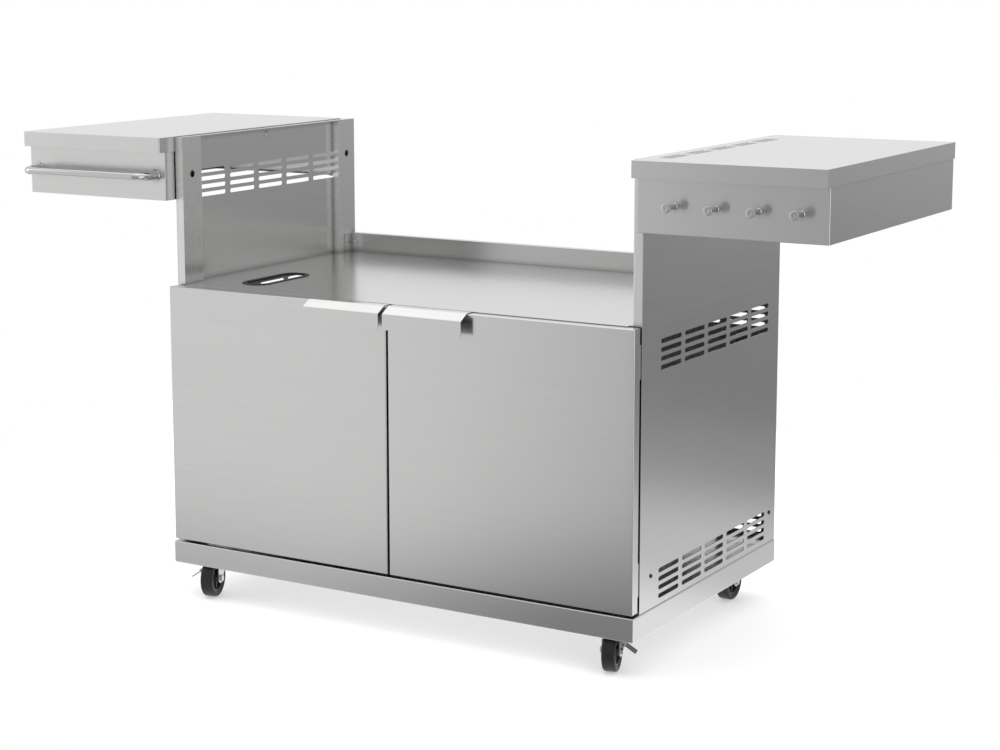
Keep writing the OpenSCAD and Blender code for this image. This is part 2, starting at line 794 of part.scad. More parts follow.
plinth_frame();
caster_bearer(-1);  // left_caster_bearer
caster_bearer(1);  // right_caster_bearer
floor_pan();
side_panel(-1);  // left_side_panel
side_panel(1);  // right_side_panel
back_panel();
deck();
header_rail();
rear_rail();
post(-1, panel_y, post_front_mid);  // left_front_post
post(1, panel_y, post_front_mid);  // right_front_post
post(-1, back_y - post_w, post_back_mid);  // left_rear_post
post(1, back_y - post_w, post_back_mid);  // right_rear_post
shelf_top(-1, false);  // left_shelf_top
shelf_top(1, true);  // right_shelf_top
shelf_apron(-1);  // left_shelf_apron
shelf_apron(1);  // right_shelf_apron
towel_bar();
tool_hooks();
hose_grommet();
shelf_bolts();
panel_screws();
rail_screws();
door_catches();
cabinet_hinge_leaves();
hinge_pins();
caster_plates();
caster_bolts();
door_skin(-1);  // left_door_skin
door_liner(-1);  // left_door_liner
door_handle(-1);  // left_door_handle
door_hinge_leaves(-1);  // left_door_hinge_leaves
strike_plate(-1);  // left_strike_plate
door_skin(1);  // right_door_skin
door_liner(1);  // right_door_liner
door_handle(1);  // right_door_handle
door_hinge_leaves(1);  // right_door_hinge_leaves
strike_plate(1);  // right_strike_plate
fork(-1, kingpin_front, front_toe, true);  // front_left_fork
axle(-1, kingpin_front, front_toe);  // front_left_axle
hub(-1, kingpin_front, front_toe);  // front_left_hub
tyre(-1, kingpin_front, front_toe);  // front_left_tyre
brake_lever(-1, kingpin_front, front_toe);  // front_left_brake_lever
fork(1, kingpin_front, front_toe, true);  // front_right_fork
axle(1, kingpin_front, front_toe);  // front_right_axle
hub(1, kingpin_front, front_toe);  // front_right_hub
tyre(1, kingpin_front, front_toe);  // front_right_tyre
brake_lever(1, kingpin_front, front_toe);  // front_right_brake_lever
fork(-1, kingpin_back, 0, false);  // rear_left_fork
axle(-1, kingpin_back, 0);  // rear_left_axle
hub(-1, kingpin_back, 0);  // rear_left_hub
tyre(-1, kingpin_back, 0);  // rear_left_tyre
fork(1, kingpin_back, 0, false);  // rear_right_fork
axle(1, kingpin_back, 0);  // rear_right_axle
hub(1, kingpin_back, 0);  // rear_right_hub
tyre(1, kingpin_back, 0);  // rear_right_tyre
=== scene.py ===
"""Looks of a stainless steel griddle cart: rounded sheet, fittings, finishes, light and floor."""

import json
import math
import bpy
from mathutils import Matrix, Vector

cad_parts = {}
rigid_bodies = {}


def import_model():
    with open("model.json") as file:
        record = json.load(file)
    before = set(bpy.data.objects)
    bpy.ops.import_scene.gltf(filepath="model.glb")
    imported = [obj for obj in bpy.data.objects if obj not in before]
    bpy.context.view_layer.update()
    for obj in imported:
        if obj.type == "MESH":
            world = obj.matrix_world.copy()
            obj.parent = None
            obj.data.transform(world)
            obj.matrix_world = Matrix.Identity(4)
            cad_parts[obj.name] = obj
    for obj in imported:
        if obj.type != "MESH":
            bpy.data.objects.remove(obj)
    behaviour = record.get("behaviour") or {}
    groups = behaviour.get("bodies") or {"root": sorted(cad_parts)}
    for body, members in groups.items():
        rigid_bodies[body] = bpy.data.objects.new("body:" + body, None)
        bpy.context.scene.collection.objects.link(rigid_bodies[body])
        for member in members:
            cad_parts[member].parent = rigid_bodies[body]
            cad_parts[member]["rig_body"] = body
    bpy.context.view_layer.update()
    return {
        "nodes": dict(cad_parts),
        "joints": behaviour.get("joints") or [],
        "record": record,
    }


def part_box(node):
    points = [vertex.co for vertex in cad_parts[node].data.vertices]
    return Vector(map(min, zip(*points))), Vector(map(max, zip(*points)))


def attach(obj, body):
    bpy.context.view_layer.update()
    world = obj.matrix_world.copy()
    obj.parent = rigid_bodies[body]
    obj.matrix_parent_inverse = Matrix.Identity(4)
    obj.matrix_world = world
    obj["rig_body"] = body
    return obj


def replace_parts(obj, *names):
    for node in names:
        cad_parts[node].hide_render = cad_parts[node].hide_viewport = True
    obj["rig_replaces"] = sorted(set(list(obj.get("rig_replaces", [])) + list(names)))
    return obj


bl_info = {
    "name": "Griddle Cart Looks",
    "version": (1, 0, 0),
    "blender": (4, 5, 0),
    "location": "View3D > Sidebar > Griddle Cart",
    "description": "Finishes a steel griddle cart: folded sheet, fittings, casters, light and floor",
    "category": "Object",
}

import bmesh
import bpy
import numpy as np
from mathutils import Matrix, Vector

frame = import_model()
SLOT_OF = {part["node"]: part["material_slot"] for part in frame["record"]["subparts"]}
JOINTS = {joint["name"]: joint for joint in frame["joints"]}
TAU = 2 * math.pi
CORNERS = ("front_left", "front_right", "rear_left", "rear_right")


# ---- Sizes and colours a user would change ----


def length(name, description, default, low, high):
    """A length in metres, shown to a tenth of a millimetre."""
    return bpy.props.FloatProperty(
        name=name, description=description, default=default, min=low, max=high,
        unit="LENGTH", precision=4,
    )


def colour(name, description, default):
    """A linear colour."""
    return bpy.props.FloatVectorProperty(
        name=name, description=description, default=default, size=3, min=0, max=1,
        subtype="COLOR",
    )


def share(name, description, default, high=1.0):
    """A plain factor from 0 up."""
    return bpy.props.FloatProperty(
        name=name, description=description, default=default, min=0, max=high, subtype="FACTOR",
    )


class GriddleSheet(bpy.types.PropertyGroup):
    """Sizes of the folded sheet"""

    thickness: length("Sheet thickness", "Thickness of the folded sheet", 0.0015, 0.0008, 0.003)
    fold: length("Fold radius", "Outside radius of a fold", 0.002, 0.0004, 0.006)
    burr: length("Cut edge radius", "Rounding left on a cut edge", 0.0002, 0.00005, 0.0006)
    corner: length("Corner radius", "Outside radius of a welded corner", 0.0022, 0.0005, 0.006)


class GriddleFittings(bpy.types.PropertyGroup):
    """Sizes of the bar, hooks, handles and wheels"""

    bar_bend: length("Bar bend", "Radius of the towel bar's bends", 0.02, 0.01, 0.04)
    bar_thickness: length("Bar thickness", "Diameter of the towel bar", 0.016, 0.008, 0.03)
    hook_stem: length("Hook stem", "Radius of a tool hook's stem", 0.0045, 0.002, 0.008)
    hook_waist: length("Hook waist", "Radius of the groove behind a hook's head", 0.0042, 0.002, 0.008)
    tread_shoulder: length("Tyre shoulder", "Rounding of a tyre's shoulders", 0.004, 0.001, 0.008)
    hub_rim: length("Hub rim", "Radial thickness of a wheel hub's rim", 0.004, 0.002, 0.008)
    hub_spokes: bpy.props.IntProperty(
        name="Hub spokes", description="Number of ribs in a wheel hub", default=5, min=3, max=9)
    handle_nose: length("Handle nose", "Radius of the fold at a handle's lip", 0.0024, 0.001, 0.008)


class GriddleFinish(bpy.types.PropertyGroup):
    """Colours and roughness of the finishes"""

    steel: colour("Stainless steel", "Tone of the brushed sheet", (0.585, 0.585, 0.580))
    bright: colour("Polished steel", "Tone of the bar and hooks", (0.50, 0.50, 0.495))
    zinc: colour("Zinc plate", "Tone of the caster forks", (0.60, 0.62, 0.63))
    galvanised: colour("Galvanised steel", "Tone of the hidden stiffeners", (0.50, 0.51, 0.52))
    blackened: colour("Blackened steel", "Tone of the side screws", (0.030, 0.030, 0.031))
    # Painted shade: the brake levers' dark tone stands in for the shadow they sit in.
    lever: colour("Lever steel painted shade", "Tone of the brake levers", (0.22, 0.22, 0.225))
    plastic: colour("Black plastic", "Tone of the hubs and catches", (0.020, 0.020, 0.021))
    rubber: colour("Tyre rubber", "Tone of the tyres", (0.014, 0.013, 0.012))
    grommet: colour("Grommet rubber", "Tone of the hose grommet", (0.018, 0.018, 0.018))
    steel_roughness: share("Steel roughness", "Roughness of the brushed sheet", 0.21)


class GriddleStage(bpy.types.PropertyGroup):
    """Camera, light and floor"""

    camera_place: bpy.props.FloatVectorProperty(
        name="Camera place", description="Where the camera stands", size=3,
        default=(2.1331, -3.5239, 1.2397), subtype="TRANSLATION", unit="LENGTH")
    yaw: bpy.props.FloatProperty(
        name="Yaw", description="Turn of the camera to the left of +Y",
        default=math.radians(32.174), subtype="ANGLE")
    pitch: bpy.props.FloatProperty(
        name="Pitch", description="Tilt of the camera above level",
        default=math.radians(-9.176), subtype="ANGLE")
    roll: bpy.props.FloatProperty(
        name="Roll", description="Turn of the camera about its own axis",
        default=math.radians(-0.305), subtype="ANGLE")
    lens: bpy.props.FloatProperty(
        name="Lens", description="Focal length", default=77.14, min=20, max=200,
        unit="CAMERA")
    shift_x: bpy.props.FloatProperty(
        name="Shift X", description="Sideways lens shift", default=0.07, min=-0.5, max=0.5)
    shift_y: bpy.props.FloatProperty(
        name="Shift Y", description="Upward lens shift", default=-0.0625, min=-0.5, max=0.5)
    floor: colour("Floor", "Tone of the floor", (0.86, 0.86, 0.86))
    floor_size: length("Floor size", "Half the width of the floor", 1.75, 1.5, 12.0)
    overhead: bpy.props.FloatProperty(
        name="Overhead light", description="Power of the large light overhead",
        default=46.0, min=0, max=5000, unit="POWER")
    side_light: bpy.props.FloatProperty(
        name="Side light", description="Power of the tall light on the left",
        default=14.0, min=0, max=5000, unit="POWER")


def settings(name):
    """One of the scene's groups of sizes, by its short name."""
    return getattr(bpy.context.scene, "griddle_" + name)


# ---- Shader maths ----


class Sock:
    """A shader socket whose + - * > and abs build Math nodes, with numbers or other sockets."""

    def __init__(self, shade, socket):
        self.shade = shade
        self.socket = socket

    def maths(self, operation, *values):
        inputs = dict(enumerate(values))
        return self.shade.node("ShaderNodeMath", {"operation": operation}, inputs)

    def __add__(self, other):
        return self.maths("ADD", self, other)

    def __sub__(self, other):
        return self.maths("SUBTRACT", self, other)

    def __rsub__(self, other):
        return self.maths("SUBTRACT", other, self)

    def __mul__(self, other):
        return self.maths("MULTIPLY", self, other)

    def __gt__(self, other):
        return self.maths("GREATER_THAN", self, other)

    def __abs__(self):
        return self.maths("ABSOLUTE", self)

    __radd__ = __add__
    __rmul__ = __mul__


class Shade:
    """One material or world under construction."""

    def __init__(self, owner):
        self.owner = owner
        owner.use_nodes = True
        self.tree = owner.node_tree
        self.tree.nodes.clear()

    def node(self, kind, options=None, inputs=None, output=0):
        """Adds a node, sets its options first, then its sockets, and returns one output."""
        made = self.tree.nodes.new(kind)
        for key, value in (options or {}).items():
            if key == "stops":
                ramp = made.color_ramp
                for spare in list(ramp.elements)[1:]:
                    ramp.elements.remove(spare)
                ramp.elements[0].position, ramp.elements[0].color = value[0]
                for place, tone in value[1:]:
                    ramp.elements.new(place).color = tone
            else:
                setattr(made, key, value)
        for key, value in (inputs or {}).items():
            if isinstance(value, Sock):
                self.tree.links.new(value.socket, made.inputs[key])
            else:
                made.inputs[key].default_value = value
        return Sock(self, made.outputs[output])

    def spot(self, scale):
        """Object coordinates, scaled along each axis."""
        place = self.node("ShaderNodeTexCoord", output="Object")
        return self.node("ShaderNodeMapping", {}, {"Vector": place, "Scale": scale})

    def noise(self, scale, detail=2.0, roughness=0.5):
        """Smooth noise over object coordinates, scale per metre along each axis."""
        return self.node(
            "ShaderNodeTexNoise", {},
            {"Vector": self.spot(scale), "Scale": 1.0, "Detail": detail, "Roughness": roughness},
        )

    def mix(self, factor, low, high):
        """A colour between two colours."""
        return self.node(
            "ShaderNodeMix", {"data_type": "RGBA"}, {0: factor, 6: low, 7: high}, output=2)

    def blend(self, factor, low, high):
        """A number between two numbers."""
        return low + factor * (high - low)

    def step(self, value, low, high, from_value, to_value):
        """Runs smoothly from one number to another while the value goes from low to high."""
        return self.node("ShaderNodeMapRange", {"interpolation_type": "SMOOTHSTEP"}, {
            "Value": value, "From Min": low, "From Max": high,
            "To Min": from_value, "To Max": to_value})

    def surface(self, **inputs):
        """The Principled shader and the output."""
        named = {key.replace("_", " ").title().replace("Ior", "IOR"): value
                 for key, value in inputs.items()}
        shader = self.node("ShaderNodeBsdfPrincipled", {}, named)
        self.node_out("ShaderNodeOutputMaterial", shader)
        return self.owner

    def node_out(self, kind, shader):
        """Joins a shader to an output node."""
        out = self.tree.nodes.new(kind)
        self.tree.links.new(shader.socket, out.inputs["Surface"])


def rgba(tone, gain=1.0):
    """A linear colour times a gain, with alpha."""
    return tuple(min(1.0, c * gain) for c in tone) + (1.0,)


def new_shade(name):
    return Shade(bpy.data.materials.new(name))


# ---- Finishes ----


def brushed_steel(name, tone, roughness, upright=False, smear=0.0):
    """Brushed sheet: streaks run level on walls and along X on level faces, or all upright.

    Each streak pattern is noise stretched two hundred times along the brush, a fine one of
    under a millimetre and a broad one of some ten, over slow clouds from rolling and handling.
    The smear is how much further a reflection spreads across the brush than along it."""
    shade = new_shade(name)
    normal = shade.node("ShaderNodeTexCoord", output="Normal")
    parts = shade.node("ShaderNodeSeparateXYZ", {}, {0: normal}, output="Z")
    level = abs(parts) > 0.7
    wall_fine, wall_broad = (7, 7, 1500), (0.8, 0.8, 120)
    if upright:
        wall_fine, wall_broad = (1500, 1500, 7), (160, 160, 0.8)
    fine = shade.blend(level, shade.noise(wall_fine, 2.0), shade.noise((7, 1500, 1500), 2.0))
    broad = shade.blend(
        level, shade.noise(wall_broad, 3.0, 0.65), shade.noise((0.8, 120, 120), 3.0, 0.65))
    cloud = shade.noise((2.6, 2.6, 3.4), 4.0, 0.55)
    handling = shade.noise((9, 9, 14), 5.0, 0.6)
    streak = broad * 0.3 + fine * 0.7
    patch = shade.node("ShaderNodeMapRange", {}, {
        "Value": streak + (cloud - 0.5) * 0.3, "From Min": 0.3, "From Max": 0.7})
    worn = shade.mix(patch, rgba(tone, 0.97), rgba(tone, 1.03))
    # Painted shade: ambient occlusion within twelve millimetres darkens the colour towards 0.35 of the
    # tone in crevices, under the skirts and between parts.
    painted_crevice_shade = shade.node(
        "ShaderNodeAmbientOcclusion", {"samples": 4}, {"Distance": 0.012}, output="AO")
    tint = shade.mix(painted_crevice_shade, rgba(tone, 0.35), worn)
    rough = (roughness + (streak - 0.5) * 0.08 + (cloud - 0.5) * 0.05
             + (handling - 0.5) * 0.03)
    slow = shade.node("ShaderNodeBump", {}, {
        "Strength": 1.0, "Distance": 0.0005, "Height": shade.noise((1.9, 1.9, 2.3), 1.0)})
    bump = shade.node("ShaderNodeBump", {}, {
        "Strength": 0.12 if upright else 0.4, "Distance": 0.000006, "Height": fine,
        "Normal": slow})
    return shade.surface(
        base_color=tint, metallic=1.0, roughness=rough, normal=bump, anisotropic=smear,
        anisotropic_rotation=0.0 if upright else 0.25)


def polished_steel(name, tone):
    """Bright bar stock: fine rings round the bar and faint handling marks."""
    shade = new_shade(name)
    marks = shade.noise((60, 60, 60), 4.0, 0.6)
    rings = shade.noise((700, 40, 40), 2.0)
    rough = 0.15 + (marks - 0.5) * 0.10 + (rings - 0.5) * 0.05
    tint = shade.mix(marks, rgba(tone, 0.94), rgba(tone, 1.03))
    bump = shade.node("ShaderNodeBump", {}, {
        "Strength": 0.15, "Distance": 0.00005, "Height": rings})
    return shade.surface(base_color=tint, metallic=1.0, roughness=rough, normal=bump)


def zinc_plate(name, tone):
    """Zinc plate: soft mottling, small pits and dull patches."""
    shade = new_shade(name)
    mottle = shade.noise((140, 140, 140), 5.0, 0.65)
    patch = shade.noise((32, 32, 32), 3.0)
    pits = shade.node("ShaderNodeTexVoronoi", {}, {
        "Vector": shade.spot((420, 420, 420)), "Scale": 1.0})
    tint = shade.mix(mottle * 0.6 + patch * 0.4, rgba(tone, 0.78), rgba(tone, 1.08))
    rough = 0.33 + (patch - 0.5) * 0.25 + (mottle - 0.5) * 0.15
    bump = shade.node("ShaderNodeBump", {}, {
        "Strength": 0.25, "Distance": 0.0001, "Height": mottle * 0.7 + pits * 0.3})
    return shade.surface(base_color=tint, metallic=1.0, roughness=rough, normal=bump)


def galvanised_steel(name, tone):
    """Hot-dip spangle: flat cells some ten millimetres across, each of its own tone."""
    shade = new_shade(name)
    cells = shade.node("ShaderNodeTexVoronoi", {}, {
        "Vector": shade.spot((95, 95, 95)), "Scale": 1.0}, output="Color")
    shine = shade.node("ShaderNodeSeparateColor", {}, {0: cells})
    grit = shade.noise((600, 600, 600), 2.0)
    tint = shade.mix(shine, rgba(tone, 0.82), rgba(tone, 1.12))
    rough = 0.36 + (shine - 0.5) * 0.22 + (grit - 0.5) * 0.06
    bump = shade.node("ShaderNodeBump", {}, {
        "Strength": 0.1, "Distance": 0.0001, "Height": grit})
    return shade.surface(base_color=tint, metallic=1.0, roughness=rough, normal=bump)


def moulded_plastic(name, tone):
    """Moulded plastic: spark-eroded grain and a little dust in patches."""
    shade = new_shade(name)
    grain = shade.noise((1500, 1500, 1500), 2.0)
    scuff = shade.noise((70, 70, 70), 5.0, 0.7)
    tint = shade.mix(scuff, rgba(tone, 0.8), rgba(tone, 1.7))
    rough = 0.42 + (scuff - 0.5) * 0.25 + (grain - 0.5) * 0.1
    bump = shade.node("ShaderNodeBump", {}, {
        "Strength": 0.3, "Distance": 0.00008, "Height": grain})
    return shade.surface(base_color=tint, roughness=rough, normal=bump)


def rubber(name, tone, dust):
    """Hard rubber: fine grit in the bump, pale dust in patches over the tone."""
    shade = new_shade(name)
    grit = shade.noise((900, 900, 900), 3.0)
    patch = shade.noise((45, 45, 45), 5.0, 0.65)
    cover = shade.node("ShaderNodeMapRange", {}, {
        "Value": patch, "From Min": 0.45, "From Max": 0.75, "To Max": dust})
    tint = shade.mix(cover, rgba(tone), (0.16, 0.145, 0.13, 1.0))
    rough = 0.46 + (patch - 0.5) * 0.2
    bump = shade.node("ShaderNodeBump", {}, {
        "Strength": 0.4, "Distance": 0.00015, "Height": grit})
    return shade.surface(
        base_color=tint, roughness=rough, normal=bump, specular_ior_level=0.25)


FINISHES = {}


def finish(slot):
    """One finish by name, a slot of the record or one of LOOKS; all are made once."""
    if not FINISHES:
        tones = settings("finish")
        FINISHES.update({
            "sheet_steel": brushed_steel(
                "Brushed stainless", tones.steel, tones.steel_roughness, smear=0.6),
            "level_steel": brushed_steel(
                "Brushed stainless tops", tones.steel, tones.steel_roughness),
            # The posts' steel is a lighter copy of the sheet's, its tone times 1.16: painted light for
            # the brighter light falling on the posts. Its upright grain and extra roughness are real.
            "upright_steel_painted_lighter": brushed_steel(
                "Brushed stainless posts painted lighter", rgba(tones.steel, 1.16)[:3],
                tones.steel_roughness + 0.06,
                upright=True, smear=0.4),
            "polished_steel": polished_steel("Polished stainless", tones.bright),
            "zinc_steel": zinc_plate("Zinc plate", tones.zinc),
            "galvanised": galvanised_steel("Galvanised spangle", tones.galvanised),
            "black_steel": zinc_plate("Blackened steel", tones.blackened),
            # The brake levers take the zinc plate at a much darker tone: painted shade standing in for
            # the shadow they sit in.
            "lever_steel": zinc_plate("Lever steel painted shade", tones.lever),
            "black_plastic": moulded_plastic("Moulded black plastic", tones.plastic),
            "tyre_rubber": rubber("Hard tyre rubber", tones.rubber, 0.08),
            "grommet_rubber": rubber("Soft grommet rubber", tones.grommet, 0.12),
        })
    return FINISHES[slot]


# ---- Mesh making ----


MERGE = 2e-6
SHARP = math.radians(34)


def mesh_object(name, points, faces):
    """An object at the origin from an array of points and a list of faces.

    Edges turning by more than SHARP stay sharp, and flat faces keep their own normals."""
    mesh = bpy.data.meshes.new(name)
    mesh.from_pydata(points.tolist(), [], faces)
    mesh.validate()
    work = bmesh.new()
    work.from_mesh(mesh)
    bmesh.ops.remove_doubles(work, verts=work.verts, dist=MERGE)
    bmesh.ops.recalc_face_normals(work, faces=work.faces)
    work.to_mesh(mesh)
    work.free()
    mesh.polygons.foreach_set("use_smooth", np.ones(len(mesh.polygons), bool))
    mesh.set_sharp_from_angle(angle=SHARP)
    made = bpy.data.objects.new(name, mesh)
    bpy.context.scene.collection.objects.link(made)
    flats = made.modifiers.new("Flats", "WEIGHTED_NORMAL")
    flats.keep_sharp = True
    return made


def grid_faces(rows, columns, wrap_rows=False, wrap_columns=True):
    """Four-sided faces of a grid of points numbered row by row, worked out as arrays."""
    r = np.arange(rows if wrap_rows else rows - 1)
    c = np.arange(columns if wrap_columns else columns - 1)
    r, c = (a.ravel() for a in np.meshgrid(r, c, indexing="ij"))
    r2, c2 = (r + 1) % rows, (c + 1) % columns
    corners = [r * columns + c, r * columns + c2, r2 * columns + c2, r2 * columns + c]
    return np.stack(corners, 1).tolist()


def arc(centre, radius, begin, end, steps):
    """Points round a centre between two angles."""
    a = np.linspace(begin, end, steps)
    return np.stack([centre[0] + radius * np.cos(a), centre[1] + radius * np.sin(a)], 1)


def rounded_line(points, radii, steps=6, closed=False):
    """A line through the points whose corners are arcs of the given radii.

    At each corner the arc touches both sides at radius / tan(half the corner's angle) from it;
    its points are the centre plus the radius turned evenly from one touch to the other."""
    points = np.asarray(points, float)
    count = len(points)
    pieces = []
    for n in range(count):
        before, here, after = points[n - 1], points[n], points[(n + 1) % count]
        if radii[n] <= 0 or (not closed and n in (0, count - 1)):
            pieces.append(here[None])
            continue
        a = (before - here) / np.linalg.norm(before - here)
        b = (after - here) / np.linalg.norm(after - here)
        half = math.acos(float(np.clip(a @ b, -1, 1))) / 2
        reach = radii[n] / math.tan(half)
        centre = here + (a + b) / np.linalg.norm(a + b) * radii[n] / math.sin(half)
        first, last = here + a * reach - centre, here + b * reach - centre
        begin = math.atan2(first[1], first[0])
        turn = (math.atan2(last[1], last[0]) - begin + math.pi) % TAU - math.pi
        pieces.append(arc(centre, radii[n], begin, begin + turn, steps))
    return np.concatenate(pieces)


def sheet_outline(points, bend, thickness, steps=6):
    """The closed outline of a folded strip: its middle line moved half a thickness each way.

    Each side of the line is moved along its normal; a corner of the moved line lies where the
    two moved sides meet, and its arc is the bend radius plus or minus half a thickness."""
    points = np.asarray(points, float)
    sides = np.diff(points, axis=0)
    sides /= np.linalg.norm(sides, axis=1)[:, None]
    normals = np.stack([-sides[:, 1], sides[:, 0]], 1)
    before = np.concatenate([normals[:1], normals])
    after = np.concatenate([normals, normals[-1:]])
    mitre = before + after
    mitre /= (mitre * before).sum(1)[:, None]
    turn = np.sign(before[:, 0] * after[:, 1] - before[:, 1] * after[:, 0])
    half = thickness / 2
    halves = []
    for side in (1, -1):
        radii = np.maximum(bend - side * turn * half, 0.0002) * (np.abs(turn) > 0)
        radii[0] = radii[-1] = 0
        halves.append(rounded_line(points + mitre * half * side, radii, steps))
    return np.concatenate([halves[0], halves[1][::-1]])


def carried_straight(name, outline, begin, end, across, up):
    """A closed outline carried in a straight line and capped.

    Point = place along the line + first number * across + second number * up."""
    begin, end = np.asarray(begin, float), np.asarray(end, float)
    flat = outline[:, :1] * np.asarray(across, float) + outline[:, 1:] * np.asarray(up, float)
    points = np.concatenate([flat + begin, flat + end])
    count = len(outline)
    faces = grid_faces(2, count)
    faces += [list(range(count)), list(range(2 * count - 1, count - 1, -1))]
    return mesh_object(name, points, faces)


def round_rectangle(half_x, half_y, radius, steps=7):
    """A ring round a rectangle: four quarter arcs about the corners' own centres."""
    angles = np.arange(4)[:, None] * (TAU / 4) + np.linspace(0, TAU / 4, steps)[None]
    signs = np.array([[1, 1], [-1, 1], [-1, -1], [1, -1]], float)
    centre = signs * [half_x - radius, half_y - radius]
    x = centre[:, :1] + radius * np.cos(angles)
    y = centre[:, 1:] + radius * np.sin(angles)
    return np.stack([x.ravel(), y.ravel()], 1)


def carried_round(name, profile, centre, half, corner, axes, closed, steps=7):
    """A profile carried round a rounded rectangle.

    Each point of the profile is (how far in from the rectangle, height). Its ring is the
    rectangle drawn in by that much, with its corner arcs shortened to match, raised by the
    height. A profile that isn't closed has a cap at each end."""
    profile = np.asarray(profile, float)
    rings = []
    for inset, height in profile:
        radius = max(corner - inset, 0.00015)
        ring = round_rectangle(half[0] - inset, half[1] - inset, radius, steps)
        rings.append(np.column_stack([ring, np.full(len(ring), height)]))
    local = np.concatenate(rings)
    points = local @ np.asarray(axes, float) + np.asarray(centre, float)
    count = 4 * steps
    faces = grid_faces(len(profile), count, wrap_rows=closed)
    if not closed:
        last = (len(profile) - 1) * count
        faces += [list(range(count))[::-1], list(range(last, last + count))]
    return mesh_object(name, points, faces)


def turned(name, profile, centre, axis, steps=48, closed=False):
    """A profile of (radius, place along the axis) turned round an axis: a surface of revolution."""
    profile = np.asarray(profile, float)
    axis = np.asarray(axis, float) / np.linalg.norm(axis)
    first = np.cross(axis, [0.0, 0.0, 1.0] if abs(axis[2]) < 0.9 else [1.0, 0.0, 0.0])
    first /= np.linalg.norm(first)
    second = np.cross(axis, first)
    a = np.arange(steps) * TAU / steps
    round_about = np.cos(a)[:, None] * first + np.sin(a)[:, None] * second
    points = (profile[:, None, :1] * round_about[None] + profile[:, None, 1:] * axis
              + np.asarray(centre, float)).reshape(-1, 3)
    faces = grid_faces(len(profile), steps, wrap_rows=closed)
    if not closed:
        last = (len(profile) - 1) * steps
        faces += [list(range(steps))[::-1], list(range(last, last + steps))]
    return mesh_object(name, points, faces)


def swept(name, path, radius, up, steps=28):
    """A round section carried along a flat path.

    At each point the section's plane is square to the path's own direction, the mean of the
    two neighbouring sides; one axis of the section is the path plane's normal."""
    path = np.asarray(path, float)
    ahead = np.gradient(path, axis=0)
    ahead /= np.linalg.norm(ahead, axis=1)[:, None]
    up = np.asarray(up, float)
    side = np.cross(ahead, up)
    a = np.arange(steps) * TAU / steps
    points = (path[:, None] + radius * (np.cos(a)[None, :, None] * side[:, None]
              + np.sin(a)[None, :, None] * up)).reshape(-1, 3)
    faces = grid_faces(len(path), steps)
    last = (len(path) - 1) * steps
    faces += [list(range(steps))[::-1], list(range(last, last + steps))]
    return mesh_object(name, points, faces)


def joined(name, parts):
    """Several closed shells as one object."""
    work = bmesh.new()
    for part in parts:
        work.from_mesh(part.data)
        bpy.data.objects.remove(part)
    mesh = bpy.data.meshes.new(name)
    work.to_mesh(mesh)
    work.free()
    made = bpy.data.objects.new(name, mesh)
    bpy.context.scene.collection.objects.link(made)
    return made


# Nodes whose finish isn't the plain one of their slot
LOOKS = {
    "deck": "level_steel", "left_shelf_top": "level_steel", "right_shelf_top": "level_steel",
    "floor_pan": "level_steel",
    "left_front_post": "upright_steel_painted_lighter", "left_rear_post": "upright_steel_painted_lighter",
    "right_front_post": "upright_steel_painted_lighter", "right_rear_post": "upright_steel_painted_lighter",
    "front_left_brake_lever": "lever_steel", "front_right_brake_lever": "lever_steel",
    "panel_screws": "black_steel",
}


def place(piece, *nodes):
    """Gives a piece the body, slot and finish of the CAD nodes it stands for."""
    slot = SLOT_OF[nodes[0]]
    piece.data.materials.clear()
    piece.data.materials.append(finish(LOOKS.get(nodes[0], slot)))
    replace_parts(piece, *nodes)
    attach(piece, frame["nodes"][nodes[0]]["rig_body"])
    return piece


def edge_widths(mesh):
    """For every edge: the narrower width of its two faces, and the angle between them.

    A face's width is twice its area over its edge length, which is about the short side of a
    long face. The sign of the angle is positive where the edge stands out."""
    count = len(mesh.polygons)
    area = np.zeros(count)
    mesh.polygons.foreach_get("area", area)
    normal = np.zeros(count * 3)
    mesh.polygons.foreach_get("normal", normal)
    normal = normal.reshape(-1, 3)
    centre = np.zeros(count * 3)
    mesh.polygons.foreach_get("center", centre)
    centre = centre.reshape(-1, 3)
    total = np.zeros(count, int)
    mesh.polygons.foreach_get("loop_total", total)
    edge_of_loop = np.zeros(len(mesh.loops), int)
    mesh.loops.foreach_get("edge_index", edge_of_loop)
    face_of_loop = np.repeat(np.arange(count), total)
    ends = np.zeros(len(mesh.edges) * 2, int)
    mesh.edges.foreach_get("vertices", ends)
    spots = np.zeros(len(mesh.vertices) * 3)
    mesh.vertices.foreach_get("co", spots)
    spots = spots.reshape(-1, 3)
    ends = ends.reshape(-1, 2)
    run = np.linalg.norm(spots[ends[:, 0]] - spots[ends[:, 1]], axis=1)
    around = np.bincount(face_of_loop, run[edge_of_loop], count)
    width = 2 * area / np.maximum(around, 1e-9)
    order = np.argsort(edge_of_loop, kind="stable")
    edges, begin, uses = np.unique(edge_of_loop[order], return_index=True, return_counts=True)
    pair = uses == 2
    edges, begin = edges[pair], begin[pair]
    a, b = face_of_loop[order[begin]], face_of_loop[order[begin + 1]]
    angle = np.zeros(len(mesh.edges))
    narrow = np.zeros(len(mesh.edges))
    middle = (spots[ends[edges, 0]] + spots[ends[edges, 1]]) / 2
    out = ((middle - centre[b]) * normal[a]).sum(1)
    turn = np.arccos(np.clip((normal[a] * normal[b]).sum(1), -1, 1))
    angle[edges] = np.where(out >= -1e-9, turn, -turn)
    narrow[edges] = np.minimum(width[a], width[b])
    return narrow, angle


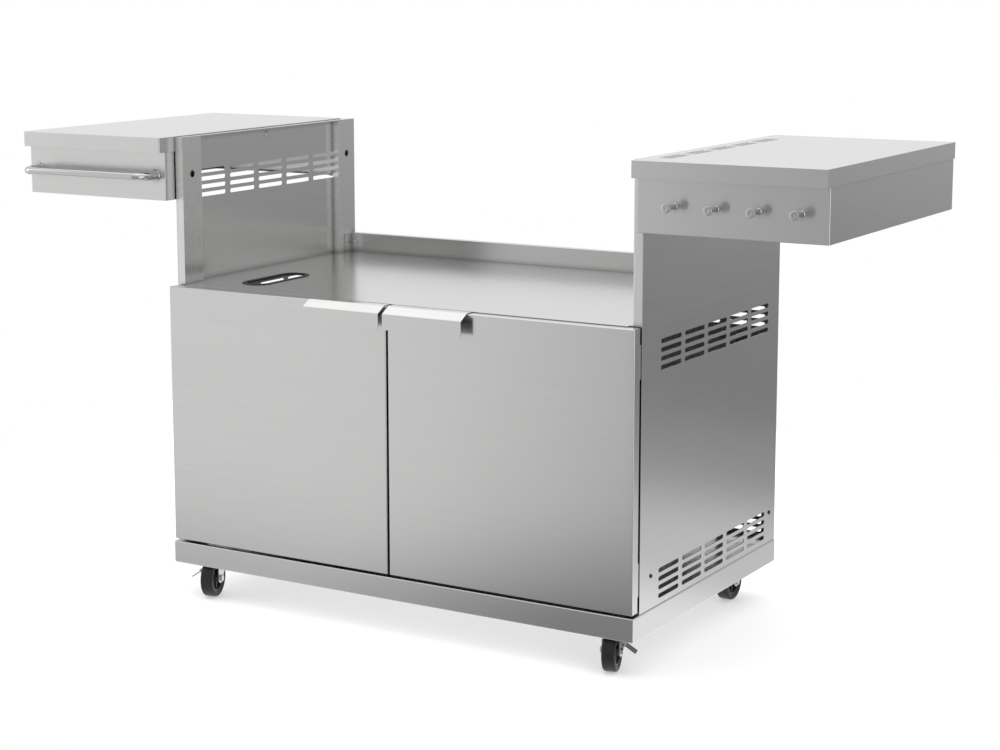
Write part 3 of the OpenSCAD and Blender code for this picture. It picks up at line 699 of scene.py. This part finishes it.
def rounded_copy(node, fold=None, burr=None, wide=0.0026):
    """A copy of a CAD node with its folds and cut edges rounded.

    Edges between two wide faces are folds and take the full fold radius; edges beside a face
    as narrow as the sheet are cut edges and take only the burr's."""
    sizes = settings("sheet")
    fold = sizes.fold if fold is None else fold
    burr = sizes.burr if burr is None else burr
    mesh = frame["nodes"][node].data.copy()
    mesh.name = node + "_rounded"
    for spare in [a.name for a in mesh.attributes if a.name in ("custom_normal", "sharp_edge")]:
        mesh.attributes.remove(mesh.attributes[spare])
    work = bmesh.new()
    work.from_mesh(mesh)
    bmesh.ops.remove_doubles(work, verts=work.verts, dist=MERGE)
    bmesh.ops.dissolve_limit(
        work, angle_limit=math.radians(0.4), verts=work.verts, edges=work.edges)
    work.to_mesh(mesh)
    work.free()
    narrow, angle = edge_widths(mesh)
    weight = np.where(narrow > wide, 1.0, burr / fold)
    weight[angle < 0] = burr / fold
    weight[np.abs(angle) < math.radians(30)] = 0
    layer = mesh.attributes.new("bevel_weight_edge", "FLOAT", "EDGE")
    layer.data.foreach_set("value", weight)
    mesh.polygons.foreach_set("use_smooth", np.ones(len(mesh.polygons), bool))
    made = bpy.data.objects.new(node + "_rounded", mesh)
    bpy.context.scene.collection.objects.link(made)
    bevel = made.modifiers.new("Rounding", "BEVEL")
    bevel.limit_method = "WEIGHT"
    bevel.width = fold
    bevel.segments = 3
    bevel.miter_outer = "MITER_SHARP"
    bevel.harden_normals = True
    place(made, node)
    return made


# ---- Pieces ----


class GRIDDLE_OT_sheet(bpy.types.Operator):
    """Round the folds and cut edges of the slotted and drilled sheet"""

    bl_idname = "griddle.sheet"
    bl_label = "Folded Sheet"

    def execute(self, context):
        for node in (
            "plinth_frame", "floor_pan", "left_side_panel", "right_side_panel", "back_panel",
            "deck", "rear_rail", "header_rail", "left_front_post", "right_front_post",
            "left_rear_post", "right_rear_post", "right_shelf_top", "left_shelf_apron",
            "right_shelf_apron",
        ):
            rounded_copy(node)
        return {"FINISHED"}


def tray_profile(depth, thickness, fold):
    """From the middle of the top, round the fold, down the skirt, round its edge and back inside."""
    inner = max(fold - thickness, 0.0004)
    outside = arc((fold, -fold), fold, TAU / 4, TAU / 2, 6)
    rim = [(0, -depth), (thickness, -depth)]
    inside = arc((thickness + inner, -thickness - inner), inner, TAU / 2, TAU / 4, 5)
    inward = 0.03
    return np.concatenate(
        [[(inward, 0)], outside, rim, inside, [(inward, -thickness)]])


class GRIDDLE_OT_doors(bpy.types.Operator):
    """Press the door skins, the inner pans and the plain shelf top"""

    bl_idname = "griddle.doors"
    bl_label = "Doors and Shelf Top"

    def execute(self, context):
        sizes = settings("sheet")
        facing = [[1, 0, 0], [0, 0, 1], [0, -1, 0]]
        away = [[1, 0, 0], [0, 0, 1], [0, 1, 0]]
        upward = [[1, 0, 0], [0, 1, 0], [0, 0, 1]]
        for node, axes in (
            ("left_door_skin", facing), ("right_door_skin", facing),
            ("left_door_liner", away), ("right_door_liner", away),
            ("left_shelf_top", upward),
        ):
            low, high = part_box(node)
            half = (high - low) / 2
            half_x, half_y, reach = (abs(half.dot(Vector(axis))) for axis in axes)
            top = (low + high) / 2 + Vector(axes[2]) * reach
            profile = tray_profile(2 * reach, sizes.thickness, sizes.fold)
            piece = carried_round(
                node + "_pressed", profile, top, [half_x, half_y], sizes.corner, axes,
                closed=False)
            place(piece, node)
        return {"FINISHED"}


class GRIDDLE_OT_handles(bpy.types.Operator):
    """Fold the door handles"""

    bl_idname = "griddle.handles"
    bl_label = "Door Handles"

    drop: length("Slope", "How far a handle's top slopes down", 0.0125, 0.005, 0.025)

    def execute(self, context):
        sizes = settings("sheet")
        nose = settings("fittings").handle_nose
        half = sizes.thickness / 2
        for node, skin in (("left_door_handle", "left_door_skin"),
                           ("right_door_handle", "right_door_skin")):
            low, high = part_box(node)
            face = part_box(skin)[0].y
            slope = high.z - self.drop
            line = [(high.y - 0.0005, high.z - half), (face, high.z - half),
                    (low.y + half, slope), (low.y + half, low.z)]
            bends = sheet_outline(line, nose, sizes.thickness, 8)
            piece = carried_straight(
                node + "_folded", bends, (low.x, 0, 0), (high.x, 0, 0), (0, 1, 0), (0, 0, 1))
            place(piece, node)
        return {"FINISHED"}


class GRIDDLE_OT_towel_bar(bpy.types.Operator):
    """Bend the towel bar and turn its collars"""

    bl_idname = "griddle.towel_bar"
    bl_label = "Towel Bar"

    def execute(self, context):
        sizes = settings("fittings")
        low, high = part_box("towel_bar")
        radius = sizes.bar_thickness / 2
        level = (low.z + high.z) / 2
        collar = (high.z - low.z) / 2
        left, right, front = low.x + collar, high.x - collar, low.y + radius
        line = rounded_line(
            [(left, high.y), (left, front), (right, front), (right, high.y)],
            [0, sizes.bar_bend, sizes.bar_bend, 0], 14)
        path = np.column_stack([line, np.full(len(line), level)])
        ring = [(radius - 0.0005, 0), (collar - 0.0006, 0), (collar, 0.0006),
                (collar, 0.0016), (collar - 0.0009, 0.0025), (radius - 0.0005, 0.0025)]
        parts = [swept("bar", path, radius, (0, 0, 1))]
        parts += [turned("collar", ring, (x, high.y, level), (0, -1, 0), closed=True)
                  for x in (left, right)]
        place(joined("towel_bar_bent", parts), "towel_bar")
        return {"FINISHED"}


class GRIDDLE_OT_hooks(bpy.types.Operator):
    """Turn the tool hooks"""

    bl_idname = "griddle.hooks"
    bl_label = "Tool Hooks"

    count: bpy.props.IntProperty(name="Hooks", description="Number of hooks", default=4, min=1)

    def execute(self, context):
        sizes = settings("fittings")
        low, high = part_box("tool_hooks")
        head = (high.z - low.z) / 2
        long = high.y - low.y
        stem, waist = sizes.hook_stem, sizes.hook_waist
        throat = arc((stem + 0.0035, long - 0.0075), 0.0035, TAU / 2, TAU / 4, 6)
        rim = rounded_line(
            [(head - 0.002, long - 0.004), (head, long - 0.004), (head, long),
             (head - 0.004, long)], [0, 0.0006, 0.0014, 0], 5)
        dish = [(head * 0.5, long - 0.0003), (0.0008, long - 0.0004)]
        profile = np.concatenate(
            [[(0.0008, 0), (stem + 0.0012, 0), (stem + 0.0012, 0.0012), (stem, 0.002),
              (stem, long * 0.5), (waist, long * 0.62), (stem, long - 0.0075)],
             throat[1:], rim, dish])
        parts = [
            turned("hook", profile, (x, high.y, (low.z + high.z) / 2), (0, -1, 0))
            for x in np.linspace(low.x + head, high.x - head, self.count)
        ]
        place(joined("tool_hooks_turned", parts), "tool_hooks")
        return {"FINISHED"}


class GRIDDLE_OT_grommet(bpy.types.Operator):
    """Mould the soft grommet round the hose hole"""

    bl_idname = "griddle.grommet"
    bl_label = "Hose Grommet"

    lap: length("Lap", "How far the lips lie over the deck", 0.005, 0.002, 0.01)
    wall: length("Wall", "Thickness of the grommet inside the hole", 0.003, 0.001, 0.006)
    hole_corner: length("Hole corner", "Corner radius of the hole", 0.024, 0.004, 0.026)

    def execute(self, context):
        low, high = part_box("hose_grommet")
        sizes = settings("sheet")
        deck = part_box("deck")[1].z
        under = deck - sizes.thickness
        line = [(0, high.z), (0, deck), (self.lap, deck), (self.lap, under), (0, under),
                (0, low.z), (self.lap + self.wall, low.z), (self.lap + self.wall, high.z)]
        profile = rounded_line(
            line, [0.0012, 0.0003, 0.0002, 0.0002, 0.0003, 0.0012, 0.001, 0.0012], 5, closed=True)
        centre = Vector(((low.x + high.x) / 2, (low.y + high.y) / 2, 0))
        piece = carried_round(
            "hose_grommet_moulded", profile, centre,
            [(high.x - low.x) / 2, (high.y - low.y) / 2],
            self.hole_corner + self.lap, np.eye(3), closed=True, steps=12)
        place(piece, "hose_grommet")
        return {"FINISHED"}


class GRIDDLE_OT_tyres(bpy.types.Operator):
    """Turn the hard rubber tyres"""

    bl_idname = "griddle.tyres"
    bl_label = "Tyres"

    width: length("Width", "Width of a tyre", 0.025, 0.015, 0.04)
    bead: length("Bead", "Radius at which a tyre sits on its hub", 0.027, 0.02, 0.03)

    def execute(self, context):
        shoulder = settings("fittings").tread_shoulder
        for corner in CORNERS:
            spin = JOINTS[corner + "_wheel_spin"]
            low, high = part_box(corner + "_tyre")
            radius = (high.z - low.z) / 2
            bead, half = self.bead, self.width / 2
            line = [(bead, -half + 0.001), (radius - 0.0065, -half + 0.001),
                    (radius - 0.005, -half), (radius, -half), (radius, half),
                    (radius - 0.005, half), (radius - 0.0065, half - 0.001),
                    (bead, half - 0.001)]
            radii = [0, 0.0012, 0, shoulder, shoulder, 0, 0.0012, 0]
            profile = rounded_line(line, radii, 7, closed=True)
            piece = turned(
                corner + "_tyre_turned", profile, spin["pos_m"], spin["axis"], 96, closed=True)
            place(piece, corner + "_tyre")
        return {"FINISHED"}


class GRIDDLE_OT_hubs(bpy.types.Operator):
    """Mould the ribbed wheel hubs"""

    bl_idname = "griddle.hubs"
    bl_label = "Wheel Hubs"

    def execute(self, context):
        sizes = settings("fittings")
        for corner in CORNERS:
            spin = JOINTS[corner + "_wheel_spin"]
            centre = np.asarray(spin["pos_m"], float)
            axis = np.asarray(spin["axis"], float)
            axis /= np.linalg.norm(axis)
            outer, half = 0.027, 0.0105
            inner = outer - sizes.hub_rim
            bore, boss, boss_half, web = 0.0042, 0.0085, 0.0135, 0.002
            rim = rounded_line([(inner, -half), (outer, -half), (outer, half), (inner, half)],
                               [0.0008, 0.0005, 0.0005, 0.0008], 4, closed=True)
            middle = rounded_line(
                [(bore, -boss_half), (boss, -boss_half), (boss + 0.0006, -web),
                 (inner + 0.0005, -web), (inner + 0.0005, web), (boss + 0.0006, web),
                 (boss, boss_half), (bore, boss_half)],
                [0, 0.0008, 0.0012, 0, 0, 0.0012, 0.0008, 0], 4, closed=True)
            parts = [turned("rim", rim, centre, axis, 72, closed=True),
                     turned("middle", middle, centre, axis, 72, closed=True)]
            first = np.cross(axis, [0.0, 0.0, 1.0])
            second = np.cross(axis, first)
            rib_line = rounded_line([(-0.002, -0.0075), (0.002, -0.0075), (0.002, 0.0075),
                                     (-0.002, 0.0075)], [0.0007] * 4, 4, closed=True)
            for n in range(sizes.hub_spokes):
                a = n * TAU / sizes.hub_spokes + 0.3
                along = np.cos(a) * first + np.sin(a) * second
                sideways = np.cross(axis, along)
                parts.append(carried_straight(
                    "rib", rib_line, centre + along * (boss - 0.001),
                    centre + along * (inner + 0.001), sideways, axis))
            place(joined(corner + "_hub_moulded", parts), corner + "_hub")
        return {"FINISHED"}


class GRIDDLE_OT_casters(bpy.types.Operator):
    """Round the pressed forks, plates and brake levers"""

    bl_idname = "griddle.casters"
    bl_label = "Caster Forks"

    press: length("Press radius", "Rounding of the pressed forks", 0.0009, 0.0002, 0.002)

    def execute(self, context):
        for corner in CORNERS:
            rounded_copy(corner + "_fork", fold=self.press, burr=0.0005, wide=0.004)
        for corner in ("front_left", "front_right"):
            rounded_copy(corner + "_brake_lever", fold=self.press, burr=0.0005, wide=0.004)
        return {"FINISHED"}


class GRIDDLE_OT_hardware(bpy.types.Operator):
    """Give the small hardware its finish"""

    bl_idname = "griddle.hardware"
    bl_label = "Small Hardware"

    def execute(self, context):
        replaced = {
            node for piece in bpy.data.objects for node in list(piece.get("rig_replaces", []))}
        for node, piece in frame["nodes"].items():
            if node not in replaced:
                piece.data.materials.clear()
                piece.data.materials.append(finish(LOOKS.get(node, SLOT_OF[node])))
        return {"FINISHED"}


# ---- Stage ----


def studio_world(world):
    """A soft studio: white to the left and behind, dim behind the camera and to the right.

    The brightness is worked out from the ray's own direction: a smooth step over its turn from
    front to left, another from right to back left, a lift near the ground on the right, and a
    bright patch at the front right that only the outer corners of the sheet pick up."""
    shade = Shade(world)
    ray = shade.node("ShaderNodeTexCoord", output="Generated")
    x = shade.node("ShaderNodeSeparateXYZ", {}, {0: ray}, output="X")
    y = shade.node("ShaderNodeSeparateXYZ", {}, {0: ray}, output="Y")
    z = shade.node("ShaderNodeSeparateXYZ", {}, {0: ray}, output="Z")

    front = shade.step(x, -0.55, -0.34, 0.98, 0.48)
    dim = shade.step(z, -0.15, -0.08, 0.28, 0.50)
    back = shade.blend(shade.step(x, -0.15, 0.35, 0.0, 1.0), 0.98, dim)
    behind = shade.step(y, -0.25, 0.25, 0.0, 1.0)
    glint = shade.step(x, 0.45, 0.75, 0.0, 1.1) * shade.step(y, -0.35, -0.1, 1.0, 0.0)
    level = shade.blend(behind, front, back) + glint
    above = shade.step(z, 0.12, 0.5, 0.0, 1.0)
    bright = shade.blend(above, level, 0.95)
    for_eye = shade.node("ShaderNodeLightPath", output="Is Camera Ray")
    strength = shade.blend(for_eye, bright, 1.0)
    sky = shade.node("ShaderNodeBackground", {}, {"Color": (1, 1, 1, 1), "Strength": strength})
    shade.node_out("ShaderNodeOutputWorld", sky)


def pale_floor(tone):
    """A pale floor with a glow of its own; what steel sees of it is softly graded.

    The graded part is dim in front on the right, brighter to the left, and bright close to
    the cart on its right side, as a floor lit from the left and from behind is."""
    shade = new_shade("Pale floor")
    haze = shade.noise((1.5, 1.5, 1.5), 3.0)
    paint = shade.node("ShaderNodeBsdfPrincipled", {}, {
        "Base Color": shade.mix(haze, rgba(tone, 0.985), rgba(tone, 1.015)),
        "Roughness": 0.7, "Emission Color": (1, 1, 1, 1), "Emission Strength": 0.38})
    where = shade.node("ShaderNodeTexCoord", output="Object")
    x = shade.node("ShaderNodeSeparateXYZ", {}, {0: where}, output="X")
    y = shade.node("ShaderNodeSeparateXYZ", {}, {0: where}, output="Y")

    front = shade.step(x, -0.5, 0.35, 0.88, 0.34) * shade.step(y, -0.85, -0.5, 1.0, 0.78)
    rear = shade.step(y, 0.1, 0.42, 1.2, 0.82) * shade.step(y, 0.65, 1.3, 1.0, 0.5)
    graded = shade.blend(shade.step(y, -0.42, -0.25, 0.0, 1.0), front, rear)
    glow = shade.node("ShaderNodeEmission", {}, {"Strength": graded})
    seen = shade.node("ShaderNodeLightPath", output="Is Glossy Ray")
    both = shade.node("ShaderNodeMixShader", {}, {0: seen, 1: paint, 2: glow})
    shade.node_out("ShaderNodeOutputMaterial", both)
    return shade.owner


def area_light(name, place_at, aim, size, power):
    """A soft rectangular light aimed at a point."""
    data = bpy.data.lights.new(name, "AREA")
    data.shape = "RECTANGLE"
    data.size, data.size_y = size
    data.energy = power
    lamp = bpy.data.objects.new(name, data)
    lamp.location = place_at
    lamp.rotation_euler = (Vector(aim) - Vector(place_at)).to_track_quat("-Z", "Y").to_euler()
    bpy.context.scene.collection.objects.link(lamp)
    return lamp


class GRIDDLE_OT_stage(bpy.types.Operator):
    """Set the floor, the light and the camera"""

    bl_idname = "griddle.stage"
    bl_label = "Stage"

    def execute(self, context):
        sizes = settings("stage")
        scene = context.scene
        world = bpy.data.worlds.new("Studio")
        scene.world = world
        studio_world(world)
        scene.view_settings.view_transform = "Standard"

        reach = sizes.floor_size
        lines = np.linspace(-1, 1, 25)
        u, v = np.meshgrid(lines, lines, indexing="ij")
        points = np.stack([u * reach, v * reach * 0.8 + 0.35, 0 * u], -1).reshape(-1, 3)
        ground = mesh_object("Floor", points, grid_faces(len(lines), len(lines), wrap_columns=False))
        ground.data.materials.append(pale_floor(sizes.floor))

        area_light("Overhead", (-0.3, 0.4, 3.6), (0, 0.2, 0), (5.0, 4.5), sizes.overhead)
        area_light("Left side", (-3.6, -1.6, 1.6), (0, 0, 0.5), (1.6, 2.4), sizes.side_light)

        lens = bpy.data.cameras.new("Camera")
        lens.lens = sizes.lens
        lens.sensor_width = 36
        lens.shift_x, lens.shift_y = sizes.shift_x, sizes.shift_y
        lens.clip_end = 100
        eye = bpy.data.objects.new("Camera", lens)
        ahead = Vector((-math.sin(sizes.yaw) * math.cos(sizes.pitch),
                        math.cos(sizes.yaw) * math.cos(sizes.pitch), math.sin(sizes.pitch)))
        side = Vector((math.cos(sizes.yaw), math.sin(sizes.yaw), 0))
        up = side.cross(ahead)
        turn = math.cos(sizes.roll), math.sin(sizes.roll)
        right = side * turn[0] + up * turn[1]
        above = up * turn[0] - side * turn[1]
        spin = Matrix((right, above, -ahead)).transposed().to_4x4()
        eye.matrix_world = Matrix.Translation(sizes.camera_place) @ spin
        scene.collection.objects.link(eye)
        scene.camera = eye
        return {"FINISHED"}


# ---- Panel and registration ----

STEPS = (
    "sheet", "doors", "handles", "towel_bar", "hooks", "grommet", "tyres", "hubs",
    "casters", "hardware", "stage",
)


class GRIDDLE_PT_panel(bpy.types.Panel):
    """Lists the cart's pieces and their sizes"""

    bl_idname = "GRIDDLE_PT_panel"
    bl_label = "Griddle Cart"
    bl_space_type = "VIEW_3D"
    bl_region_type = "UI"
    bl_category = "Griddle Cart"

    def draw(self, context):
        for step in STEPS:
            self.layout.operator("griddle." + step)
        for group in GROUPS:
            box = self.layout.box()
            for key in GROUPS[group].__annotations__:
                box.prop(settings(group), key)


GROUPS = {
    "sheet": GriddleSheet, "fittings": GriddleFittings, "finish": GriddleFinish,
    "stage": GriddleStage,
}
CLASSES = (
    *GROUPS.values(), GRIDDLE_OT_sheet, GRIDDLE_OT_doors,
    GRIDDLE_OT_handles, GRIDDLE_OT_towel_bar, GRIDDLE_OT_hooks, GRIDDLE_OT_grommet,
    GRIDDLE_OT_tyres, GRIDDLE_OT_hubs, GRIDDLE_OT_casters, GRIDDLE_OT_hardware,
    GRIDDLE_OT_stage, GRIDDLE_PT_panel,
)


def register():
    for cls in CLASSES:
        bpy.utils.register_class(cls)
    for name, cls in GROUPS.items():
        setattr(bpy.types.Scene, "griddle_" + name, bpy.props.PointerProperty(type=cls))


def unregister():
    for name in GROUPS:
        delattr(bpy.types.Scene, "griddle_" + name)
    for cls in reversed(CLASSES):
        bpy.utils.unregister_class(cls)


def main():
    """Runs every step in order."""
    register()
    for step in STEPS:
        getattr(bpy.ops.griddle, step)()


if __name__ == "__main__":
    main()
